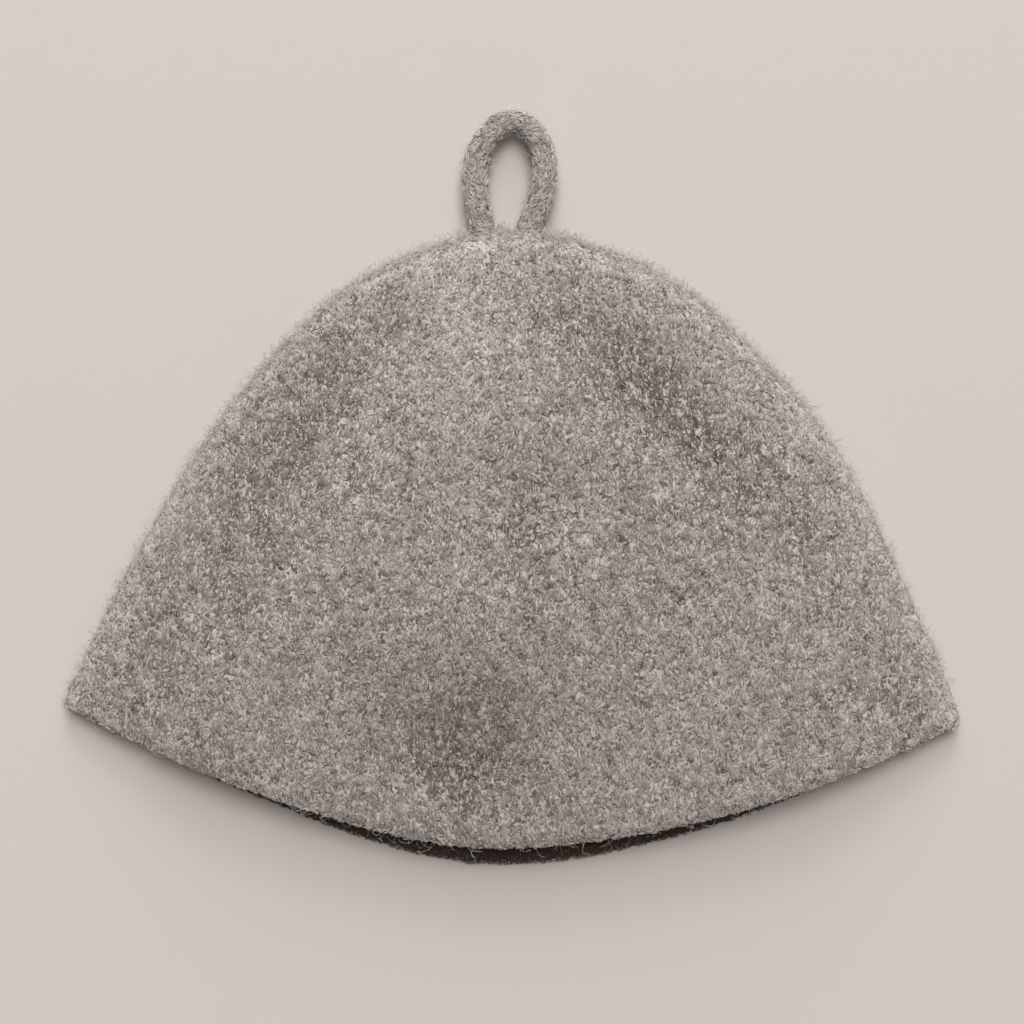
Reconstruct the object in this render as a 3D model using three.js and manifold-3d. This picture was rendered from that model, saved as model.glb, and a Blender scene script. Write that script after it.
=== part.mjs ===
// A knitted and felted wool sauna hat, laid flat on its back with the crown towards +Y.
// The bell is one soft wall that folds over along its two sides and its crown, so that a front
// layer lies over a back layer, and it opens along the hem, towards -Y. A thick felted cord
// goes in through the crown with both its ends and makes the hanging loop.
// Sizes are in millimetres and +Z is up.

import * as THREE from "three";
import { mergeVertices } from "three/addons/utils/BufferGeometryUtils.js";
import Module from "manifold-3d";

// The bell, measured flat
const HEM_WIDTH = 350; // from corner to corner
const CROWN_HEIGHT = 236.5; // from the crown's top edge down to the middle of the front hem
const HEM_SAG = 50; // how far the middle of the hem hangs below its left corner
const RIGHT_CORNER_DROP = 7.5; // how much lower the right corner lies than the left one
const BACK_HEM_SHOWS = 8; // how far the back layer reaches past the raised front hem
const HEM_POINTEDNESS = 0.25; // 0 makes the hem a round arc, and more makes it straighter
const HEM_FULLNESS = 1; // 0.5 leaves the corners at right angles, and 1 cuts them off straight
const CROWN_FULLNESS = 0.5; // the same for the crown, whose sections are half ellipses
const ROUND_POWER = 2; // the power that makes a section a half ellipse

// The felt and how it lies
const WALL = 3.5; // thickness of the knitted felt
const HOLLOW_HEIGHT = 25; // free height between the layers where the bell is fullest
const SIDE_FOLD_INSIDE = 1.5; // inner radius of the fold at the hem's corners
const SWELL_LENGTH = 72; // how far in from the fold the front layer reaches its full height
const FOLD_FADE = 34; // how far in from the fold a dent or ridge has its full depth

// The hanging loop
const CORD_DIAMETER = 10.5;
const LOOP_HEIGHT = 43; // from the crown to the middle of the cord at the loop's top
const LOOP_WIDTH = 27; // between the middles of the cord where the loop is widest
const LOOP_OFF_TABLE = 2; // free height under the loop's top, which the stiff cord holds up
const CORD_ROOM = 0.8; // free space around the cord inside the crown's fold
const CORD_TUCK = 3; // how far the cord's ends reach past the felt, inside the crown
const CORD_CLEARANCE = 0.3; // between the cord and the felt that it goes through

// How finely the faceted surfaces are cut
const RINGS_PER_SECTION = 2;
const POINTS_PER_RING = 80;
const OUTLINE_STEPS = 96;
const CORD_SIDES = 10;
const CORD_STEPS = 34;
const MERGE_DISTANCE = 0.001; // corners closer than this are one corner

// The bell's sections from the crown's middle to the hem, each one a round of knitting.
// side: how far down the fold it starts, of the fold's height. left, right: half widths, of
// half the hem. sag: how far its middle hangs below its ends, of the hem's sag. crown: how
// much of the crown's wider fold it has. rise: height of the front layer, of the fullest.
const SECTIONS = [
  { side: 0, left: 0, right: 0, sag: 0, crown: 1, rise: 1 },
  { side: 0.002, left: 0.044, right: 0.046, sag: 0.05, crown: 1, rise: 1 },
  { side: 0.009, left: 0.09, right: 0.094, sag: 0.11, crown: 1, rise: 1 },
  { side: 0.019, left: 0.134, right: 0.143, sag: 0.19, crown: 0.98, rise: 1 },
  { side: 0.062, left: 0.256, right: 0.278, sag: 0.4, crown: 0.93, rise: 1 },
  { side: 0.105, left: 0.338, right: 0.361, sag: 0.52, crown: 0.86, rise: 1 },
  { side: 0.147, left: 0.402, right: 0.43, sag: 0.58, crown: 0.8, rise: 1 },
  { side: 0.232, left: 0.499, right: 0.525, sag: 0.64, crown: 0.68, rise: 1 },
  { side: 0.318, left: 0.582, right: 0.618, sag: 0.69, crown: 0.56, rise: 1 },
  { side: 0.403, left: 0.651, right: 0.69, sag: 0.73, crown: 0.46, rise: 1 },
  { side: 0.488, left: 0.714, right: 0.749, sag: 0.77, crown: 0.36, rise: 1 },
  { side: 0.616, left: 0.792, right: 0.821, sag: 0.82, crown: 0.24, rise: 0.98 },
  { side: 0.744, left: 0.87, right: 0.883, sag: 0.88, crown: 0.13, rise: 0.9 },
  { side: 0.872, left: 0.934, right: 0.947, sag: 0.94, crown: 0.05, rise: 0.78 },
  { side: 1, left: 1, right: 1, sag: 1, crown: 0, rise: 0.64 },
];

// Dents and ridges of the front layer. across: of half the hem, to the right. down: of the
// crown height. long, wide: of the crown height. turn: degrees that its length leans to the
// left. lift: of the hollow's height, below zero for a dent.
const DENTS = [
  { name: "crown ridge", across: -0.07, down: 0.2, long: 0.2, wide: 0.085, turn: 2, lift: 0.14 },
  { name: "beside ridge", across: -0.26, down: 0.22, long: 0.15, wide: 0.05, turn: -14, lift: -0.12 },
  { name: "right shoulder", across: 0.35, down: 0.29, long: 0.2, wide: 0.055, turn: 42, lift: -0.2 },
  { name: "middle crease", across: 0.09, down: 0.44, long: 0.11, wide: 0.055, turn: -20, lift: -0.08 },
  { name: "left flank", across: -0.51, down: 0.45, long: 0.2, wide: 0.07, turn: -29, lift: -0.12 },
  { name: "low ridge", across: -0.06, down: 0.63, long: 0.12, wide: 0.15, turn: 0, lift: 0.1 },
  { name: "hem hollow", across: -0.12, down: 0.83, long: 0.09, wide: 0.14, turn: 0, lift: -0.22 },
];

// Where the cord's middle runs, from its left end to its right one. across: of the loop's
// width, to the right. up: of the loop's height above the crown.
const CORD_ROUTE = [
  { across: -0.43, up: 0.02 },
  { across: -0.51, up: 0.3 },
  { across: -0.53, up: 0.58 },
  { across: -0.42, up: 0.8 },
  { across: -0.2, up: 0.95 },
  { across: 0.04, up: 1 },
  { across: 0.27, up: 0.92 },
  { across: 0.43, up: 0.75 },
  { across: 0.47, up: 0.54 },
  { across: 0.42, up: 0.32 },
  { across: 0.31, up: 0.13 },
  { across: 0.23, up: 0 },
];

const HALF_HEM = HEM_WIDTH / 2;
const FOLD_HEIGHT = CROWN_HEIGHT - HEM_SAG - RIGHT_CORNER_DROP / 2;
const CORD_RADIUS = CORD_DIAMETER / 2;
const FULL_RISE = HOLLOW_HEIGHT + 2 * WALL;
const SIDE_FOLD = WALL + SIDE_FOLD_INSIDE;
const CROWN_FOLD = WALL + CORD_RADIUS + CORD_ROOM;

const FELT_GREY = new THREE.MeshStandardMaterial({ color: 0x92897f, roughness: 0.95, metalness: 0 });
const CORD_GREY = new THREE.MeshStandardMaterial({ color: 0x8e857c, roughness: 0.95, metalness: 0 });

// The value of a smooth curve through the rows, at a place counted in rows
function throughRows(values, place) {
  const last = values.length - 1;
  const row = Math.min(Math.floor(place), last - 1);
  const share = place - row;
  const from = values[row];
  const to = values[row + 1];
  const before = row > 0 ? values[row - 1] : from;
  const after = row < last - 1 ? values[row + 2] : to;
  const leave = (to - before) / 2;
  const arrive = (after - from) / 2;
  const bend = 2 * (from - to) + leave + arrive;
  return from + share * (leave + share * (to - from - leave - bend + share * bend));
}

// One section of the bell in millimetres, at a place counted in rows of the table. Its way runs
// from 0 at the crown to 1 at the hem.
function sectionAt(place) {
  const column = (name) => throughRows(SECTIONS.map((row) => row[name]), place);
  return {
    way: place / (SECTIONS.length - 1),
    side: column("side") * FOLD_HEIGHT,
    left: column("left") * HALF_HEM,
    right: column("right") * HALF_HEM,
    sag: column("sag") * HEM_SAG,
    fold: SIDE_FOLD + column("crown") * (CROWN_FOLD - SIDE_FOLD),
    rise: column("rise") * FULL_RISE,
  };
}

// The plan place of a point of a section. u runs from -1 at the left fold to 1 at the right.
// Past the hem's own sag, the back layer reaches further down by backReach at its middle.
function planPoint(section, u, backReach) {
  const mean = (section.left + section.right) / 2;
  const skew = (section.right - section.left) / 2;
  const nearHem = section.way ** 2;
  const fullness = THREE.MathUtils.lerp(CROWN_FULLNESS, HEM_FULLNESS, section.way);
  const power = ROUND_POWER - HEM_POINTEDNESS * nearHem;
  const bow = Math.max(1 - Math.abs(u) ** power, 0) ** fullness;
  const lean = (RIGHT_CORNER_DROP * nearHem * (u + 1)) / 2;
  const reach = section.sag + backReach * nearHem * bow;
  return new THREE.Vector2(u * mean + u * u * skew, -(section.side + lean + reach * bow));
}

// The fold line over the crown, from the hem's left corner to its right one
function foldLine() {
  const points = [];
  for (let step = -OUTLINE_STEPS; step <= OUTLINE_STEPS; step += 1) {
    const place = (Math.abs(step) / OUTLINE_STEPS) * (SECTIONS.length - 1);
    points.push(planPoint(sectionAt(place), Math.sign(step), 0));
  }
  return points;
}

// How far a plan point lies from the fold line
function distanceToLine(point, line) {
  let nearest = Infinity;
  for (let i = 1; i < line.length; i += 1) {
    const along = line[i].clone().sub(line[i - 1]);
    const away = point.clone().sub(line[i - 1]);
    const share = THREE.MathUtils.clamp(away.dot(along) / along.lengthSq(), 0, 1);
    nearest = Math.min(nearest, away.sub(along.multiplyScalar(share)).length());
  }
  return nearest;
}

// How much the dents and ridges lift the front layer at a plan point
function dentLift(point) {
  return DENTS.reduce((sum, dent) => {
    const centre = new THREE.Vector2(dent.across * HALF_HEM, -dent.down * CROWN_HEIGHT);
    const turn = THREE.MathUtils.degToRad(dent.turn);
    const away = point.clone().sub(centre).rotateAround(new THREE.Vector2(), -turn);
    const across = away.x / (dent.wide * CROWN_HEIGHT);
    const along = away.y / (dent.long * CROWN_HEIGHT);
    return sum + dent.lift * HOLLOW_HEIGHT * Math.exp(-(across * across + along * along));
  }, 0);
}

// A point of the bell's outer skin. The turn goes round a section: from the right fold under
// the flat back layer to the left fold, and over the front layer.
function skinPoint(section, turn, line) {
  const front = Math.sin(turn) < 0;
  const plan = planPoint(section, Math.cos(turn), front ? 0 : BACK_HEM_SHOWS);
  const inward = distanceToLine(plan, line);
  const roundness = Math.sqrt(1 - (1 - Math.min(inward / section.fold, 1)) ** 2);
  if (!front) {
    return new THREE.Vector3(plan.x, plan.y, section.fold * (1 - roundness));
  }
  const swell = THREE.MathUtils.smoothstep(inward, 0, SWELL_LENGTH);
  const fade = THREE.MathUtils.smoothstep(inward, 0, FOLD_FADE);
  const height = section.fold * (1 + roundness) + (section.rise - 2 * section.fold) * swell;
  return new THREE.Vector3(plan.x, plan.y, height + dentLift(plan) * fade);
}

// A closed geometry from its corner points and its triangles
function geometryOf(points, triangles) {
  const corners = points.flatMap((point) => point.toArray());
  const geometry = new THREE.BufferGeometry();
  geometry.setAttribute("position", new THREE.Float32BufferAttribute(corners, 3));
  geometry.setIndex(triangles);
  return geometry;
}

// Triangles between neighbouring rings. Ring 0 is one point, and ring r starts at point
// 1 + (r - 1) * POINTS_PER_RING, counted from the given first point.
function ringTriangles(first, rings, inwards) {
  const triangles = [];
  const push = (a, b, c) => triangles.push(...(inwards ? [a, c, b] : [a, b, c]));
  for (let i = 0; i < POINTS_PER_RING; i += 1) {
    const next = (i + 1) % POINTS_PER_RING;
    push(first, first + 1 + i, first + 1 + next);
    for (let ring = 1; ring < rings; ring += 1) {
      const here = first + 1 + (ring - 1) * POINTS_PER_RING;
      const below = here + POINTS_PER_RING;
      push(here + i, below + i, below + next);
      push(here + i, below + next, here + next);
    }
  }
  return triangles;
}

// The felt bell: its outer skin, an inner skin one wall inside it and a rounded hem
function bellGeometry() {
  const line = foldLine();
  const rings = (SECTIONS.length - 1) * RINGS_PER_SECTION;
  const outer = [new THREE.Vector3(0, 0, CROWN_FOLD)];
  for (let ring = 1; ring <= rings; ring += 1) {
    const section = sectionAt(ring / RINGS_PER_SECTION);
    for (let i = 0; i < POINTS_PER_RING; i += 1) {
      outer.push(skinPoint(section, (2 * Math.PI * i) / POINTS_PER_RING, line));
    }
  }
  const skin = geometryOf(outer, ringTriangles(0, rings, false));
  skin.computeVertexNormals();
  const normals = skin.getAttribute("normal");
  const inner = outer.map((p, i) => {
    const normal = new THREE.Vector3().fromBufferAttribute(normals, i);
    return p.clone().addScaledVector(normal, -WALL);
  });

  // The hem's lip bulges half a wall past the last ring, midway between the two skins.
  const lastRing = outer.length - POINTS_PER_RING;
  const lip = [];
  for (let i = lastRing; i < outer.length; i += 1) {
    const onward = outer[i].clone().sub(outer[i - POINTS_PER_RING]).normalize();
    const middle = outer[i].clone().add(inner[i]).divideScalar(2);
    lip.push(middle.addScaledVector(onward, WALL / 2));
  }
  const firstLip = 2 * outer.length;
  const hem = [];
  for (let i = 0; i < POINTS_PER_RING; i += 1) {
    const next = (i + 1) % POINTS_PER_RING;
    const [a, b] = [lastRing + i, lastRing + next];
    const [c, d] = [firstLip + i, firstLip + next];
    const [e, f] = [outer.length + a, outer.length + b];
    hem.push(a, c, d, a, d, b, c, e, f, c, f, d);
  }
  const triangles = [
    ...ringTriangles(0, rings, false),
    ...ringTriangles(outer.length, rings, true),
    ...hem,
  ];
  return geometryOf([...outer, ...inner, ...lip], triangles);
}

// The cord's middle line. It leaves the crown's fold at half its height and leans down to the
// loop's top, a little above the table.
function cordPath() {
  const tuckedEnd = -(WALL + CORD_TUCK);
  const topHeight = LOOP_OFF_TABLE + CORD_RADIUS;
  const route = CORD_ROUTE.map(({ across, up }) => {
    const height = THREE.MathUtils.lerp(CROWN_FOLD, topHeight, up);
    return new THREE.Vector3(across * LOOP_WIDTH, up * LOOP_HEIGHT, height);
  });
  const leftEnd = new THREE.Vector3(route[0].x, tuckedEnd, CROWN_FOLD);
  const rightEnd = new THREE.Vector3(route.at(-1).x, tuckedEnd, CROWN_FOLD);
  return new THREE.CatmullRomCurve3([leftEnd, ...route, rightEnd]);
}

// A round bar along the cord's middle line
function cordGeometry(radius) {
  const round = new THREE.Shape();
  for (let side = 0; side < CORD_SIDES; side += 1) {
    const turn = (2 * Math.PI * side) / CORD_SIDES;
    const corner = [radius * Math.cos(turn), radius * Math.sin(turn)];
    if (side === 0) {
      round.moveTo(...corner);
    } else {
      round.lineTo(...corner);
    }
  }
  round.closePath();
  return new THREE.ExtrudeGeometry(round, { steps: CORD_STEPS, extrudePath: cordPath() });
}

const wasm = await Module();
wasm.setup();

// A three.js geometry as a solid for cutting
function solidOf(geometry) {
  const bare = geometry.clone();
  bare.deleteAttribute("normal");
  bare.deleteAttribute("uv");
  const merged = mergeVertices(bare, MERGE_DISTANCE);
  return new wasm.Manifold(
    new wasm.Mesh({
      numProp: 3,
      vertProperties: merged.getAttribute("position").array,
      triVerts: new Uint32Array(merged.index.array),
    }),
  );
}

// A cut solid as a three.js geometry
function geometryFrom(solid) {
  const mesh = solid.getMesh();
  const geometry = new THREE.BufferGeometry();
  geometry.setAttribute("position", new THREE.BufferAttribute(mesh.vertProperties, 3));
  geometry.setIndex(new THREE.BufferAttribute(mesh.triVerts, 1));
  return geometry;
}

function namedMesh(name, geometry, material) {
  const mesh = new THREE.Mesh(geometry, material);
  mesh.name = name;
  return mesh;
}

// The cord's holes in the crown are as wide as the cord with its clearance.
const cordHoles = solidOf(cordGeometry(CORD_RADIUS + CORD_CLEARANCE));
const bell = geometryFrom(solidOf(bellGeometry()).subtract(cordHoles));

const hat = new THREE.Group();
hat.add(namedMesh("felt_bell", bell, FELT_GREY));
hat.add(namedMesh("hanging_loop", cordGeometry(CORD_RADIUS), CORD_GREY));

// The origin is on the table, under the middle of the hat's box.
const box = new THREE.Box3().setFromObject(hat);
const middle = box.getCenter(new THREE.Vector3());
hat.position.set(-middle.x, -middle.y, -box.min.z);

export default hat;
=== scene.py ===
import math

import bpy
import numpy as np
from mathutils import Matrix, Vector, noise
from mathutils.bvhtree import BVHTree
from mathutils.kdtree import KDTree


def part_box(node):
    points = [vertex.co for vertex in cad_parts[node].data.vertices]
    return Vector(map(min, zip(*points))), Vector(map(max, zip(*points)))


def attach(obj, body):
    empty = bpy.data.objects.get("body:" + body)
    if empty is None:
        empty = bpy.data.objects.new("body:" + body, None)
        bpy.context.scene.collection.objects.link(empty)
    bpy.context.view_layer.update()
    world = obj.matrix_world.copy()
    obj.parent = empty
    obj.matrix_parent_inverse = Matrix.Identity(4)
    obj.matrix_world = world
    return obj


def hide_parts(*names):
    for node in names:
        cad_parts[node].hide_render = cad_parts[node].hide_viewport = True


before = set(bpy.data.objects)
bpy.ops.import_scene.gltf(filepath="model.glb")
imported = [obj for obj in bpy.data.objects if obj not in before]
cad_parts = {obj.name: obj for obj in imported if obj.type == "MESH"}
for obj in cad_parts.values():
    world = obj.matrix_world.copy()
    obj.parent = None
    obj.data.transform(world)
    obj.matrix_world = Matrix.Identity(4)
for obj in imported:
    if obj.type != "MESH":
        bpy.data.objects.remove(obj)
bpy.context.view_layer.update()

# The camera hangs 1 m over the table and looks straight down, with the crown at the top of the
# picture. It takes in the hat and a little of the table round it.
CAMERA_HEIGHT = 1.0
CAMERA_Y = -0.0103  # sets the hat as high in the picture as in the photograph
VIEW_WIDTH = 0.4014  # of table that the picture takes in
SENSOR_WIDTH = 36.0  # in millimetres

bpy.ops.object.select_all(action="DESELECT")
bpy.ops.object.camera_add(location=(0, CAMERA_Y, CAMERA_HEIGHT), rotation=(0, 0, 0))
camera = bpy.context.object
camera.data.sensor_width = SENSOR_WIDTH
camera.data.lens = SENSOR_WIDTH * CAMERA_HEIGHT / VIEW_WIDTH
bpy.context.scene.camera = camera
bpy.context.scene.view_settings.view_transform = "Standard"


# The table: a smooth board that the hat lies on, painted a warm white. It runs on far past the
# picture, so that the hat stands on it from every side.
TABLE_SIZE = 30.0
TABLE_BELOW = 0.0003  # keeps the board just clear of the felt
BOARD_WHITE = "cbc4bf"


def linear(code):
    """An sRGB hex colour as linear RGBA."""
    channels = [int(code[i : i + 2], 16) / 255 for i in (0, 2, 4)]
    return [c / 12.92 if c <= 0.04045 else ((c + 0.055) / 1.055) ** 2.4 for c in channels] + [1]


def add_node(material, kind, settings=None, links=None):
    """Adds a node with its settings and input values, and links outputs to its inputs."""
    node = material.node_tree.nodes.new(kind)
    for name, value in (settings or {}).items():
        if name in node.inputs:
            node.inputs[name].default_value = value
        else:
            setattr(node, name, value)
    for name, output in (links or {}).items():
        material.node_tree.links.new(output, node.inputs[name])
    return node


def new_material(name):
    material = bpy.data.materials.new(name)
    material.use_nodes = True
    material.node_tree.nodes.clear()
    return material


# Matt wall paint, rolled on board: even and nearly without gloss, so that the eye sees only the
# hat's soft shadows on it
painted_board = new_material("painted_board")
board = add_node(
    painted_board,
    "ShaderNodeBsdfPrincipled",
    {"Base Color": linear(BOARD_WHITE), "Roughness": 0.8, "Specular IOR Level": 0.1},
)
add_node(painted_board, "ShaderNodeOutputMaterial", links={"Surface": board.outputs[0]})

bpy.ops.object.select_all(action="DESELECT")
bpy.ops.mesh.primitive_plane_add(size=TABLE_SIZE)
table = bpy.context.object
table.name = "table"
table.data.transform(table.matrix_world)
for corner in table.data.vertices:
    corner.co.z = -TABLE_BELOW
table.data.materials.append(painted_board)


# The light: soft daylight and a skylight from high up beyond the crown, a low window behind them,
# which the hat keeps off the table before the hem, a weak reflector there, and pale walls that
# shine low down all round.
DAY_WHITE, WALL_WHITE = "fffdfd", "fff3e6"
SUNS = (
    # name, place, strength, width in degrees
    ("daylight", (0.12, 0.85, 2.15), 2.15, 34),
    ("window", (0, 2.6, 0.85), 1.2, 36),
    ("reflector", (0.4, -1.8, 0.9), 0.2, 40),
)
SKYLIGHT_PLACE, SKYLIGHT_SIZE, SKYLIGHT_POWER = (0, 1.5, 1.3), 0.9, 11
ROOM_GLOW, WALL_GLOW = 0.13, 0.6
WALL_TOP, WALL_END = 0.16, 0.26  # the walls' shine fades out between these sines of elevation


def add_lamp(kind, name, place):
    """A lamp of day white at a place, turned towards the hat."""
    bpy.ops.object.light_add(type=kind, location=place)
    lamp = bpy.context.object
    lamp.name = name
    lamp.data.color = linear(DAY_WHITE)[:3]
    lamp.rotation_euler = (-Vector(place)).to_track_quat("-Z", "Y").to_euler()
    return lamp


for name, place, strength, width in SUNS:
    sun = add_lamp("SUN", name, place)
    sun.data.energy = strength
    sun.data.angle = math.radians(width)
skylight = add_lamp("AREA", "skylight", SKYLIGHT_PLACE)
skylight.data.size = SKYLIGHT_SIZE
skylight.data.energy = SKYLIGHT_POWER

room = bpy.data.worlds.new("room")
room.use_nodes = True
painted_wall = room.node_tree.nodes["Background"]
painted_wall.inputs["Color"].default_value = linear(WALL_WHITE)
way = add_node(room, "ShaderNodeTexCoord")
elevation = add_node(room, "ShaderNodeSeparateXYZ", links={"Vector": way.outputs["Generated"]})
glow = add_node(
    room,
    "ShaderNodeMapRange",
    {"From Min": WALL_TOP, "From Max": WALL_END, "To Min": WALL_GLOW, "To Max": ROOM_GLOW},
    {"Value": elevation.outputs["Z"]},
)
room.node_tree.links.new(glow.outputs["Result"], painted_wall.inputs["Strength"])
bpy.context.scene.world = room


# The bell: one round of knitting after another in thick grey melange wool, felted until the
# stitches close up. Crown, sides and hem are one piece, and the hem is left as it was knitted.
MERGE_DISTANCE = 0.00002
RAY_START, RAY_REACH = 0.0002, 0.06  # an outer face sees no felt so far along its normal
RISING, FOLD_RISE, LEVEL_RISE = 0.05, -0.2, 0.6  # how far a face's normal points upwards
FINER_CUTS = ((18e-6, 4), (4e-6, 1))  # faces of more than so many square metres get these cuts
BACK_TOP = 0.006  # the back layer's inner face lies lower than this
LUMPS = (("clumps", 0.012, 0.0005), ("nubs", 0.0035, 0.0008))  # size and height
SAG_MIDDLE, SAG_WIDTH, SAG_DEPTH = -0.03, 0.045, 0.002
SAG_TOP, SAG_RUN = -0.075, 0.06  # where the sag starts, and how far on it is full


def copy_of(node, name):
    """A new object with a merged copy of a CAD node's mesh, in quads where it can be."""
    piece = bpy.data.objects.new(name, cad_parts[node].data.copy())
    piece.data.materials.clear()
    bpy.context.collection.objects.link(piece)
    bpy.ops.object.select_all(action="DESELECT")
    bpy.context.view_layer.objects.active = piece
    piece.select_set(True)
    bpy.ops.mesh.customdata_custom_splitnormals_clear()
    bpy.ops.object.mode_set(mode="EDIT")
    bpy.ops.mesh.select_all(action="SELECT")
    bpy.ops.mesh.remove_doubles(threshold=MERGE_DISTANCE)
    bpy.ops.mesh.tris_convert_to_quads()
    bpy.ops.object.mode_set(mode="OBJECT")
    return piece


def finish_with(piece, kind, **settings):
    """Adds a modifier with its settings and applies it."""
    bpy.context.view_layer.objects.active = piece
    modifier = piece.modifiers.new(kind.lower(), kind)
    for name, value in settings.items():
        setattr(modifier, name, value)
    bpy.ops.object.modifier_apply(modifier=modifier.name)


def subdivide_faces(piece, chosen, cuts):
    """Cuts the chosen faces finer in edit mode and rounds them as it goes."""
    bpy.context.view_layer.objects.active = piece
    bpy.ops.object.mode_set(mode="EDIT")
    bpy.ops.mesh.select_mode(type="FACE")
    bpy.ops.mesh.select_all(action="DESELECT")
    bpy.ops.object.mode_set(mode="OBJECT")
    for index in chosen:
        piece.data.polygons[index].select = True
    bpy.ops.object.mode_set(mode="EDIT")
    bpy.ops.mesh.subdivide(number_cuts=cuts, smoothness=1.0)
    bpy.ops.object.mode_set(mode="OBJECT")


def outer_faces(piece, least_rise=-1, least_area=0):
    """Numbers of the faces that look away from the hat and not into its hollow."""
    tree = BVHTree.FromObject(piece, bpy.context.evaluated_depsgraph_get())
    return [
        face.index
        for face in piece.data.polygons
        if face.normal.z > least_rise
        and face.area > least_area
        and tree.ray_cast(face.center + face.normal * RAY_START, face.normal, RAY_REACH)[0] is None
    ]


bell = copy_of("felt_bell", "felt_bell_knit")
finish_with(bell, "SUBSURF", levels=1, render_levels=1)
for least_area, cuts in FINER_CUTS:
    subdivide_faces(bell, outer_faces(bell, RISING, least_area), cuts)

# Its faces are told apart while the felt is still smooth: the skin of the front and the folds, and
# the hollow with the part of the back layer that shows through the open hem
open_to_above = outer_faces(bell, FOLD_RISE)
upper_skin = [
    index
    for index in open_to_above
    if bell.data.polygons[index].normal.z < LEVEL_RISE
    or bell.data.polygons[index].center.z > BACK_TOP
]
hollow = set(range(len(bell.data.polygons))) - set(outer_faces(bell))
hollow |= set(open_to_above) - set(upper_skin)

for name, size, height in LUMPS:
    lumps = bpy.data.textures.new(name, "CLOUDS")
    lumps.noise_scale = size
    lumps.noise_depth = 1
    finish_with(
        bell, "DISPLACE", texture=lumps, texture_coords="LOCAL", strength=height, mid_level=0.5
    )

# Both hems hang lower left of the middle, as in the photograph, and the felt stays off the board
for corner in bell.data.vertices:
    low = max(0.0, min(1.0, (SAG_TOP - corner.co.y) / SAG_RUN))
    corner.co.y -= SAG_DEPTH * low * math.exp(-(((corner.co.x - SAG_MIDDLE) / SAG_WIDTH) ** 2))
    corner.co.z = max(corner.co.z, 0.0)
bpy.ops.object.shade_smooth()

# Painted light and shade: patches where the felt is drawn lighter on its ridges and darker in its
# dents and its low valley, as the light falls on them. across is a share of half the hem, to the
# right. down, long and wide are shares of the crown height. turn is in degrees, to the left.
PAINTED_LIGHT_AND_SHADE = (
    # across, down, long, wide, turn, lighter
    (-0.13, 0.19, 0.28, 0.055, 2, 0.10),
    (0.10, 0.14, 0.14, 0.070, 20, 0.03),
    (0.33, 0.29, 0.28, 0.055, 49, -0.22),
    (-0.51, 0.38, 0.28, 0.085, -25, -0.13),
    (0.02, 0.51, 0.13, 0.060, 0, -0.09),
    (0.42, 0.50, 0.12, 0.100, 0, -0.05),
    (-0.13, 0.85, 0.10, 0.130, 0, -0.21),
    (0.00, 0.03, 0.10, 0.250, 0, 0.02),
    (0.00, -0.01, 0.04, 0.450, 0, -0.16),
    (0.85, 0.72, 0.07, 0.070, 0, -0.08),
    (-0.85, 0.70, 0.20, 0.110, 0, -0.07),
    (-0.42, 0.84, 0.10, 0.150, 0, 0.07),
    (0.40, 0.80, 0.12, 0.200, 0, 0.06),
)
HALF_HEM, CROWN_HEIGHT = 0.175, 0.2365
CROWN_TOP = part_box("felt_bell")[1].y
NUB_SIZE, NUB_TONE = 0.0033, 0.085
CLUMP_SIZE, CLUMP_TONE = 0.0085, 0.03
NOISE_SPREAD = 3.0  # brings Perlin noise to a standard deviation of about 1
RIM_WIDTH, RIM_HIGHLIGHT = 0.007, 0.28  # painted highlight: the fold's edge is drawn paler, as its fuzz catches the light
STEEP, HEMWARD = 0.25, -0.3  # the fold's faces stand steeper than this and don't face the hem
# Painted shade: the hollow, the back layer's band in the open hem and the underside next to the
# board are drawn darker, as little light reaches them.
UNDERSIDE_TOP = 0.008
HOLLOW_SHADE, UNDERSIDE_SHADE = 1.0, 1.2

fold = [
    face
    for face in bell.data.polygons
    if abs(face.normal.z) < STEEP and face.normal.y > HEMWARD
]
rim = KDTree(len(fold))
for number, face in enumerate(fold):
    rim.insert((face.center.x, face.center.y, 0), number)
rim.balance()


def unevenness(spots, size):
    """Smooth random values with a standard deviation of about 1 that change over that size."""
    return NOISE_SPREAD * np.array([noise.noise(Vector(spot / size)) for spot in spots])


def grain_and_painted_shading(spots):
    """How much lighter the felt is at each place: its nubs, painted light and shade over its ridges
    and dents, and a painted highlight along its rim.
    """
    tone = NUB_TONE * unevenness(spots, NUB_SIZE) + CLUMP_TONE * unevenness(spots, CLUMP_SIZE)
    for across, down, long, wide, turn, lighter in PAINTED_LIGHT_AND_SHADE:
        x = spots[:, 0] - across * HALF_HEM
        y = spots[:, 1] - CROWN_TOP + down * CROWN_HEIGHT
        lean = math.radians(turn)
        u = (x * math.cos(lean) + y * math.sin(lean)) / (wide * CROWN_HEIGHT)
        v = (y * math.cos(lean) - x * math.sin(lean)) / (long * CROWN_HEIGHT)
        tone += lighter * np.exp(-(u**2) - v**2)
    to_rim = np.array([rim.find((x, y, 0))[2] for x, y, _ in spots])
    return tone + RIM_HIGHLIGHT * np.exp(-to_rim / RIM_WIDTH)


# The felt's tone: its grain with the painted light and shade, less the painted shade of the hollow
# and the underside.
places = np.array([corner.co for corner in bell.data.vertices])
inner_corners = {corner for index in hollow for corner in bell.data.polygons[index].vertices}
shaded = np.isin(np.arange(len(places)), list(inner_corners))
underside = np.clip(1 - places[:, 2] / UNDERSIDE_TOP, 0, 1)
bell_tone = bell.data.attributes.new("tone", "FLOAT", "POINT")
bell_tone.data.foreach_set(
    "value", grain_and_painted_shading(places) - HOLLOW_SHADE * shaded - UNDERSIDE_SHADE * underside
)

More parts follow.
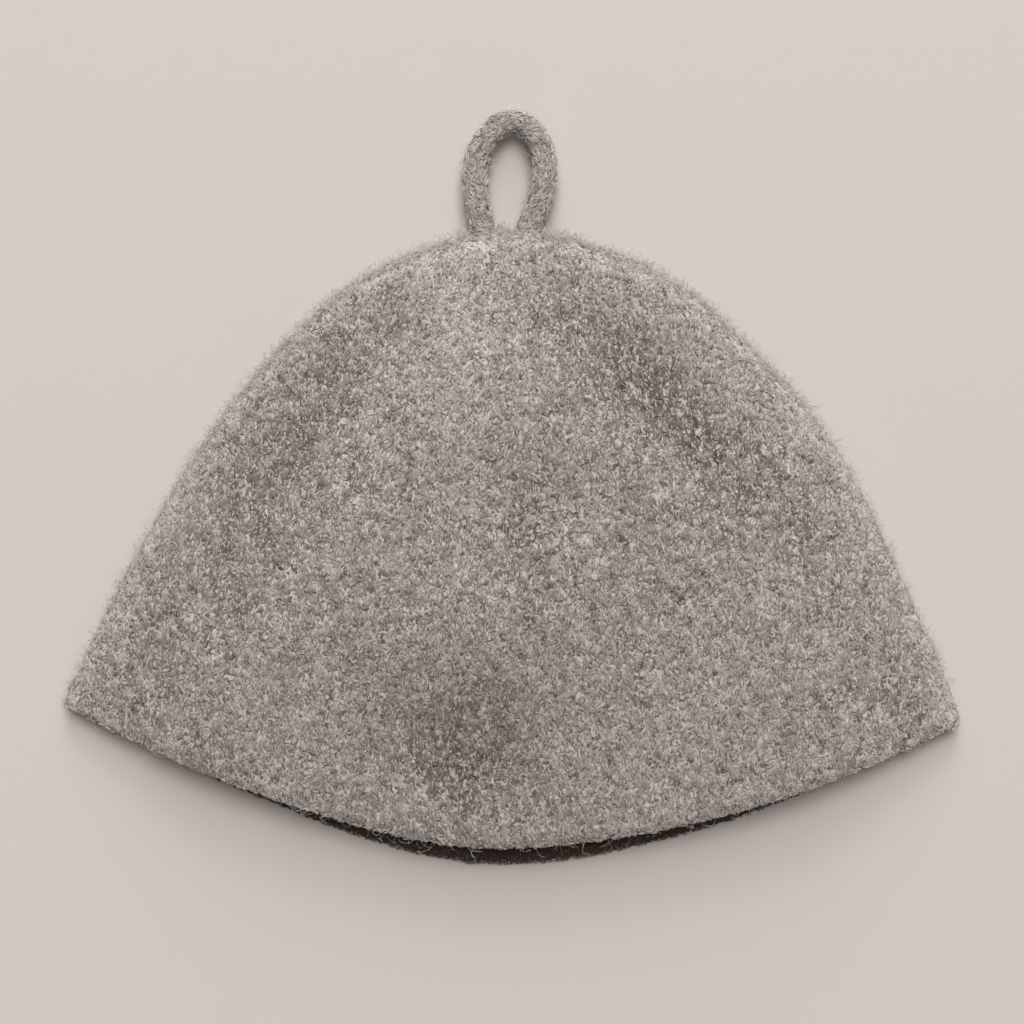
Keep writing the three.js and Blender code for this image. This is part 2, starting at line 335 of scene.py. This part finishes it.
# Wool felt, fulled in hot water until its fibres mat: a matt skin in small nubs. The grain that
# raises the nubs also colours them: their tops paler and the hollows between them dark brown-grey,
# partly the wool's own dark fibres and partly painted light and shade. This shows wherever the
# strands over it leave a gap. The darkest stop carries the painted shade of the hollow and the
# underside.
GRAIN_SIZE = 0.0023  # of one nub
GRAIN_DETAIL, GRAIN_TANGLE = 1.5, 1.8
FUZZ_HEIGHT = 0.0004
TONE_SHARE = 0.25  # of the piece's own tones in the colour
DEEP_FELT_AND_SHADE, MIDDLE_FELT, PALE_FELT_AND_HIGHLIGHT = (0.12, "42362d"), (0.36, "665d57"), (0.66, "c3bbb5")


def spread_colours(ramp, darkest, lightest, *between):
    """Gives a colour ramp its stops, each a place on it and a colour."""
    for element, (position, colour) in zip(ramp.color_ramp.elements, (darkest, lightest)):
        element.position = position
        element.color = linear(colour)
    for position, colour in between:
        ramp.color_ramp.elements.new(position).color = linear(colour)


felted_wool = new_material("felted_wool")
place = add_node(felted_wool, "ShaderNodeTexCoord")
grain = add_node(
    felted_wool,
    "ShaderNodeTexNoise",
    {"Scale": 1 / GRAIN_SIZE, "Detail": GRAIN_DETAIL, "Distortion": GRAIN_TANGLE},
    {"Vector": place.outputs["Object"]},
)
patches = add_node(felted_wool, "ShaderNodeAttribute", {"attribute_name": "tone"})
shade = add_node(
    felted_wool,
    "ShaderNodeMath",
    {"operation": "MULTIPLY_ADD"},
    {"Value": patches.outputs["Fac"]},
)
shade.inputs[1].default_value = TONE_SHARE
felted_wool.node_tree.links.new(grain.outputs["Fac"], shade.inputs[2])
greys = add_node(felted_wool, "ShaderNodeValToRGB", links={"Fac": shade.outputs["Value"]})
spread_colours(greys, DEEP_FELT_AND_SHADE, PALE_FELT_AND_HIGHLIGHT, MIDDLE_FELT)
fuzz_bump = add_node(
    felted_wool,
    "ShaderNodeBump",
    {"Strength": 0.6, "Distance": FUZZ_HEIGHT},
    {"Height": grain.outputs["Fac"]},
)
wool = add_node(
    felted_wool,
    "ShaderNodeBsdfPrincipled",
    {"Roughness": 0.95, "Specular IOR Level": 0.2},
    {"Base Color": greys.outputs["Color"], "Normal": fuzz_bump.outputs["Normal"]},
)
add_node(felted_wool, "ShaderNodeOutputMaterial", links={"Surface": wool.outputs[0]})
bell.data.materials.append(felted_wool)
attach(bell, "root")
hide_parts("felt_bell")


# The hanging loop: a thick cord knitted in the round from the same wool and felted, with both
# ends drawn through the crown. Here it is the cord's core, which its strands bring to full size.
STRAND_DEPTH = 0.0005
loop = copy_of("hanging_loop", "hanging_loop_cord")
finish_with(loop, "SUBSURF", levels=2, render_levels=2)
finish_with(loop, "DISPLACE", strength=-STRAND_DEPTH, mid_level=0.0)
loop_skin = [face.index for face in loop.data.polygons]
bpy.ops.object.shade_smooth()
loop.data.materials.append(felted_wool)
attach(loop, "root")
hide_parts("hanging_loop")


# The front's strands: felting works curled strands of the yarn up out of the knitting and tangles
# them into a nubby skin over the front and round the folds, more of them up and down the hat than
# across it. Each is a closed, pointed tube that casts its own shadow.
STRAND_SEGMENTS = 4
STRAND_SIDES = 3
STRAND_TILT, STRAND_SUNK = 0.00012, 0.0001  # how far the ends lift or dip, and how low all lie
STRAND_TAPER = 0.7
CELL_SHARE, CELL_EDGE = 0.7, 0.15  # of a strand's cell in the bake map
STRANDS_PER_PIECE = 10400
FRONT_STRANDS = 34000
SPARE = 1.35  # times as many places are drawn, because the hollows between the nubs stay thin
THIN_SPREAD, THIN_LEVEL = 0.8, -0.9
FRONT_TONE, FRONT_MELANGE = 0.375, 0.045  # the middle tone, and how far single strands stray
UP_AND_DOWN = (0.15, 1.5, 0.8)  # how far their headings spread along x, y and z


def spots_on(mesh, faces, count, rng):
    """Random places on some faces of a mesh, spread by area, with the outward normal of each."""
    mesh.calc_loop_triangles()
    corners = np.empty(len(mesh.vertices) * 3)
    mesh.vertices.foreach_get("co", corners)
    corners = corners.reshape(-1, 3)
    triangles = np.empty(len(mesh.loop_triangles) * 3, np.int64)
    mesh.loop_triangles.foreach_get("vertices", triangles)
    owners = np.empty(len(mesh.loop_triangles), np.int64)
    mesh.loop_triangles.foreach_get("polygon_index", owners)
    triangles = corners[triangles.reshape(-1, 3)[np.isin(owners, faces)]]
    sides = triangles[:, 1] - triangles[:, 0], triangles[:, 2] - triangles[:, 0]
    across = np.cross(*sides)
    areas = np.linalg.norm(across, axis=1)
    chosen = rng.choice(len(areas), count, p=areas / areas.sum())
    a, b = rng.random((2, count, 1))
    a, b = np.where(a + b > 1, 1 - a, a), np.where(a + b > 1, 1 - b, b)
    spots = triangles[chosen, 0] + a * sides[0][chosen] + b * sides[1][chosen]
    return spots, across[chosen] / areas[chosen, None]


def curls(spots, normals, rng, length, stand, curl, heading, rise):
    """The points of one curled line at each spot, which lies along the surface there."""
    count = len(spots)
    across = np.cross(normals, heading)
    across /= np.linalg.norm(across, axis=1)[:, None]
    ahead = np.cross(across, normals)
    way = (np.arange(STRAND_SEGMENTS) + 0.5) / STRAND_SEGMENTS - 0.5
    turn = rng.normal(0, curl, (count, 1)) * way
    turn = turn + rng.normal(0, curl / 2, (count, 1)) * (4 * np.abs(way) - 1)
    pieces = rng.uniform(*length, (count, 1)) / STRAND_SEGMENTS
    steps = np.stack([np.cos(turn) * pieces, np.sin(turn) * pieces], -1)
    flat = np.concatenate([np.zeros((count, 1, 2)), np.cumsum(steps, 1)], 1)
    flat -= flat.mean(1, keepdims=True)
    ends = np.linspace(-1, 1, STRAND_SEGMENTS + 1)
    height = rng.uniform(*stand, (count, 1)) * (1 - ends**2)
    height = height + rng.normal(0, STRAND_TILT, (count, 1)) * ends - STRAND_SUNK
    height += rise * rng.random((count, 1)) ** 2 * (1 + ends) / 2
    return (
        spots[:, None]
        + flat[..., :1] * ahead[:, None]
        + flat[..., 1:] * across[:, None]
        + height[..., None] * normals[:, None]
    )


def strand_points(path, normals, rng, radius):
    """The corners of a strand round each line: its root, its rings and its tip."""
    count = len(path)
    along = np.gradient(path, axis=1)
    along /= np.linalg.norm(along, axis=2)[..., None]
    sideways = np.cross(normals[:, None], along)
    sideways /= np.linalg.norm(sideways, axis=2)[..., None]
    upwards = np.cross(along, sideways)
    ends = np.linspace(-1, 1, STRAND_SEGMENTS + 1)
    thickness = rng.uniform(*radius, (count, 1)) * np.sqrt(1 - ends[1:-1] ** 2 * STRAND_TAPER)
    turns = 2 * np.pi * np.arange(STRAND_SIDES) / STRAND_SIDES + np.pi / 2
    outward = (
        np.cos(turns)[:, None] * sideways[:, 1:-1, None]
        + np.sin(turns)[:, None] * upwards[:, 1:-1, None]
    )
    rings = path[:, 1:-1, None] + thickness[..., None, None] * outward
    return np.concatenate([path[:, :1], rings.reshape(count, -1, 3), path[:, -1:]], 1)


def strand_faces(last):
    """The faces of one strand, whose tip has the number last, and where each corner is mapped."""
    faces, mapped = [], []
    first = 1 / STRAND_SEGMENTS
    for side in range(STRAND_SIDES):
        onward = (side + 1) % STRAND_SIDES
        left, right = side / STRAND_SIDES, (side + 1) / STRAND_SIDES
        middle = (left + right) / 2
        faces.append([0, 1 + onward, 1 + side])
        mapped += [(middle, 0), (right, first), (left, first)]
        for ring in range(STRAND_SEGMENTS - 2):
            here, there = 1 + STRAND_SIDES * ring, 1 + STRAND_SIDES * (ring + 1)
            low, high = (ring + 1) / STRAND_SEGMENTS, (ring + 2) / STRAND_SEGMENTS
            faces.append([here + side, here + onward, there + onward, there + side])
            mapped += [(left, low), (right, low), (right, high), (left, high)]
        tip = last - STRAND_SIDES
        faces.append([last, tip + side, tip + onward])
        mapped += [(middle, 1), (left, 1 - first), (right, 1 - first)]
    return faces, mapped


def strands(name, spots, normals, rng, length, radius, stand, curl, tones, heading=None, rise=0):
    """One mesh of strands, one at each spot, each with its own tone and cell in the bake map."""
    count = len(spots)
    heading = rng.normal(size=(count, 3)) if heading is None else heading
    path = curls(spots, normals, rng, length, stand, curl, heading, rise)
    points = strand_points(path, normals, rng, radius)
    last = points.shape[1] - 1
    faces, mapped = strand_faces(last)
    offsets = np.arange(count)[:, None] * (last + 1)
    all_faces = [(np.array(face) + offsets).tolist() for face in faces]
    by_strand = [face for strand in zip(*all_faces) for face in strand]
    mesh = bpy.data.meshes.new(name)
    mesh.from_pydata(points.reshape(-1, 3).tolist(), [], by_strand)
    columns = math.ceil(math.sqrt(count))
    cells = np.stack([np.arange(count) % columns, np.arange(count) // columns], 1) / columns
    inside = (np.array(mapped) * CELL_SHARE + CELL_EDGE) / columns
    bake_map = mesh.uv_layers.new(name="OFBake")
    bake_map.data.foreach_set("uv", (cells[:, None] + inside).ravel())
    tone = mesh.attributes.new("tone", "FLOAT", "POINT")
    tone.data.foreach_set("value", np.repeat(tones, last + 1))
    mesh.shade_smooth()
    piece = bpy.data.objects.new(name, mesh)
    bpy.context.collection.objects.link(piece)
    return piece


# Melange yarn, carded from dark, grey and pale wool: matt strands of one tone each, which the eye
# mixes to a lively grey, with the faint pale sheen of fibres that stand off them
# The darkest stops also carry the painted shade of the strands inside the hem and on the back
# layer's lip.
DARK_WOOL_AND_SHADE, GREY_WOOL = (0, "36291f"), (0.15, "5e554f")
PALE_WOOL, CREAM_WOOL = (0.9, "d4cdc8"), (1, "f6f1e9")
wool_strand = new_material("wool_strand")
tone = add_node(wool_strand, "ShaderNodeAttribute", {"attribute_name": "tone"})
melange = add_node(wool_strand, "ShaderNodeValToRGB", links={"Fac": tone.outputs["Fac"]})
spread_colours(melange, DARK_WOOL_AND_SHADE, CREAM_WOOL, GREY_WOOL, PALE_WOOL)
strand = add_node(
    wool_strand,
    "ShaderNodeBsdfPrincipled",
    {
        "Roughness": 0.9,
        "Specular IOR Level": 0.15,
        "Sheen Weight": 0.3,
        "Sheen Roughness": 0.6,
    },
    {"Base Color": melange.outputs["Color"]},
)
add_node(wool_strand, "ShaderNodeOutputMaterial", links={"Surface": strand.outputs[0]})


def lay_strands(name, spots, normals, tones, slot, **shape):
    """Lays strands of wool at the spots, in as many pieces as they need."""
    pieces = math.ceil(len(spots) / STRANDS_PER_PIECE)
    for number, some in enumerate(np.array_split(np.arange(len(spots)), pieces), 1):
        heading = shape.get("heading")
        batch = dict(shape, heading=None if heading is None else heading[some])
        piece = strands(
            name if pieces == 1 else f"{name}_{number}",
            spots[some],
            normals[some],
            rng,
            tones=np.clip(tones[some], 0, 1),
            **batch,
        )
        piece.data.materials.append(wool_strand)
        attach(piece, "root")


rng = np.random.default_rng(11)
spots, normals = spots_on(bell.data, upper_skin, round(SPARE * FRONT_STRANDS), rng)
thick = unevenness(spots, NUB_SIZE) + rng.normal(0, THIN_SPREAD, len(spots)) > THIN_LEVEL
spots, normals = spots[thick][:FRONT_STRANDS], normals[thick][:FRONT_STRANDS]
# Their tones carry the felt's grain and its painted light and shade, with the painted highlight at
# the rim.
lay_strands(
    "front_strands",
    spots,
    normals,
    FRONT_TONE + grain_and_painted_shading(spots) + rng.normal(0, FRONT_MELANGE, len(spots)),
    "felted_wool",
    length=(0.0021, 0.0042),
    radius=(0.00038, 0.0006),
    stand=(0.0, 0.0002),
    curl=1.0,
    heading=rng.normal(size=spots.shape) * UP_AND_DOWN,
)


# The hem's strands: the last round of knitting felts into a soft lip that stands a little proud.
# Its strands are drawn paler than the front's, a painted highlight where the lip catches the light.
# The back layer's lip lies in the shade of the front one and is painted darker for it.
HEM_STRANDS = 3000
HEM_TONE, HEM_PATCHES, HEM_MELANGE = 0.6, 0.4, 0.08
LIP_FACING = -0.55  # the y of a normal that looks out of the hem
UNDER_LIP = 0.007  # the back layer's lip is lower than this
SHADED_TONE = 0.14  # of the felt that the front hides from the light


def facing(mesh, faces, test):
    """Numbers of those faces that pass a test."""
    return [index for index in faces if test(mesh.polygons[index])]


every_face = range(len(bell.data.polygons))
lip = facing(bell.data, every_face, lambda face: face.normal.y < LIP_FACING)
spots, normals = spots_on(bell.data, lip, HEM_STRANDS, rng)
lip_tones = np.where(spots[:, 2] > UNDER_LIP, HEM_TONE + HEM_PATCHES * grain_and_painted_shading(spots), SHADED_TONE)
lay_strands(
    "hem_strands",
    spots,
    normals,
    lip_tones + rng.normal(0, HEM_MELANGE, len(spots)),
    "felted_wool",
    length=(0.0022, 0.0042),
    radius=(0.0003, 0.00046),
    stand=(0.0, 0.0006),
    curl=3.0,
)


# The fuzz: fine single hairs of the same wool that rubbing pulls out of the folds. They stand off
# the edge all round, thickest at the crown, and make the pale halo round the outline.
EDGE_PLACES = 9500
EDGE_RISE, EDGE_FACING = 0.75, -0.35  # an edge face rises less and looks less towards the hem
MIDDLE_DENSITY, MORE_PER_METRE = 0.4, 2.5  # share of the places with a hair, more to the crown
edge = facing(
    bell.data,
    upper_skin,
    lambda face: face.normal.z < EDGE_RISE and face.normal.y > EDGE_FACING,
)
spots, normals = spots_on(bell.data, edge, EDGE_PLACES, rng)
dense = rng.random(len(spots)) < MIDDLE_DENSITY + MORE_PER_METRE * spots[:, 1]
spots, normals = spots[dense], normals[dense]
lay_strands(
    "edge_hairs",
    spots,
    normals,
    rng.uniform(0.7, 0.95, len(spots)),
    "felted_wool",
    length=(0.002, 0.006),
    radius=(0.00006, 0.00011),
    stand=(0.0, 0.001),
    rise=0.0055,
    curl=2.6,
)


# The stray hairs: a few long ones that have worked loose from the front's lip and hang from it.
# They are single wool fibres, drawn somewhat thicker than real ones so that they show.
STRAY_PLACES = 420
spots, normals = spots_on(bell.data, lip, STRAY_PLACES, rng)
front = spots[:, 2] > UNDER_LIP
spots, normals = spots[front], normals[front]
lay_strands(
    "stray_hairs",
    spots,
    normals,
    rng.uniform(0.5, 0.9, len(spots)),
    "felted_wool",
    length=(0.005, 0.012),
    radius=(0.00006, 0.0001),
    stand=(0.0004, 0.002),
    rise=0.006,
    curl=4.0,
)


# The cord's strands: the same yarn as the bell's, felted in the same way. Most of them follow the
# narrow cord round the loop.
CORD_STRANDS = 3200
LOOP_MIDDLE = 0.022  # above the crown
CORD_TONE, CORD_PATCHES, CORD_MELANGE = 0.635, 0.07, 0.1
CORD_STRAY = 0.006  # how far their headings stray from the cord's
spots, normals = spots_on(loop.data, loop_skin, CORD_STRANDS, rng)
from_middle = (spots - np.array([0, CROWN_TOP + LOOP_MIDDLE, 0])) * np.array([1, 1, 0])
lay_strands(
    "loop_strands",
    spots,
    normals,
    CORD_TONE
    + CORD_PATCHES * unevenness(spots, NUB_SIZE)
    + rng.normal(0, CORD_MELANGE, len(spots)),
    "felted_cord",
    length=(0.0024, 0.005),
    radius=(0.00024, 0.00038),
    stand=(0.0, 0.0006),
    curl=1.6,
    heading=np.cross(from_middle, [0, 0, 1.0]) + rng.normal(0, CORD_STRAY, spots.shape),
)


# The cord's fuzz: short fine hairs of the same wool that stand off it all round, where handling
# has pulled them out.
CORD_HAIRS = 900
spots, normals = spots_on(loop.data, loop_skin, CORD_HAIRS, rng)
lay_strands(
    "loop_hairs",
    spots,
    normals,
    rng.uniform(0.7, 1, len(spots)),
    "felted_cord",
    length=(0.002, 0.005),
    radius=(0.00006, 0.0001),
    stand=(0.0, 0.0008),
    rise=0.0035,
    curl=2.6,
)


# The inside's strands: the bell is the same felt on its inner side, a little looser. They lie only
# as far in as the open hem lets one see, in the front's shade, and are painted dark for it.
INNER_STRANDS = 2600
INNER_END = -0.085  # the y as far as which one sees in
LYING = 0.4  # an inner face of the two layers is at least this level
INNER_MELANGE = 0.06
inside = facing(
    bell.data,
    hollow,
    lambda face: face.center.y < INNER_END and abs(face.normal.z) > LYING,
)
spots, normals = spots_on(bell.data, inside, INNER_STRANDS, rng)
lay_strands(
    "inner_strands",
    spots,
    normals,
    SHADED_TONE + rng.normal(0, INNER_MELANGE, len(spots)),
    "felted_wool",
    length=(0.003, 0.006),
    radius=(0.00025, 0.0004),
    stand=(0.0002, 0.0008),
    curl=3.0,
)
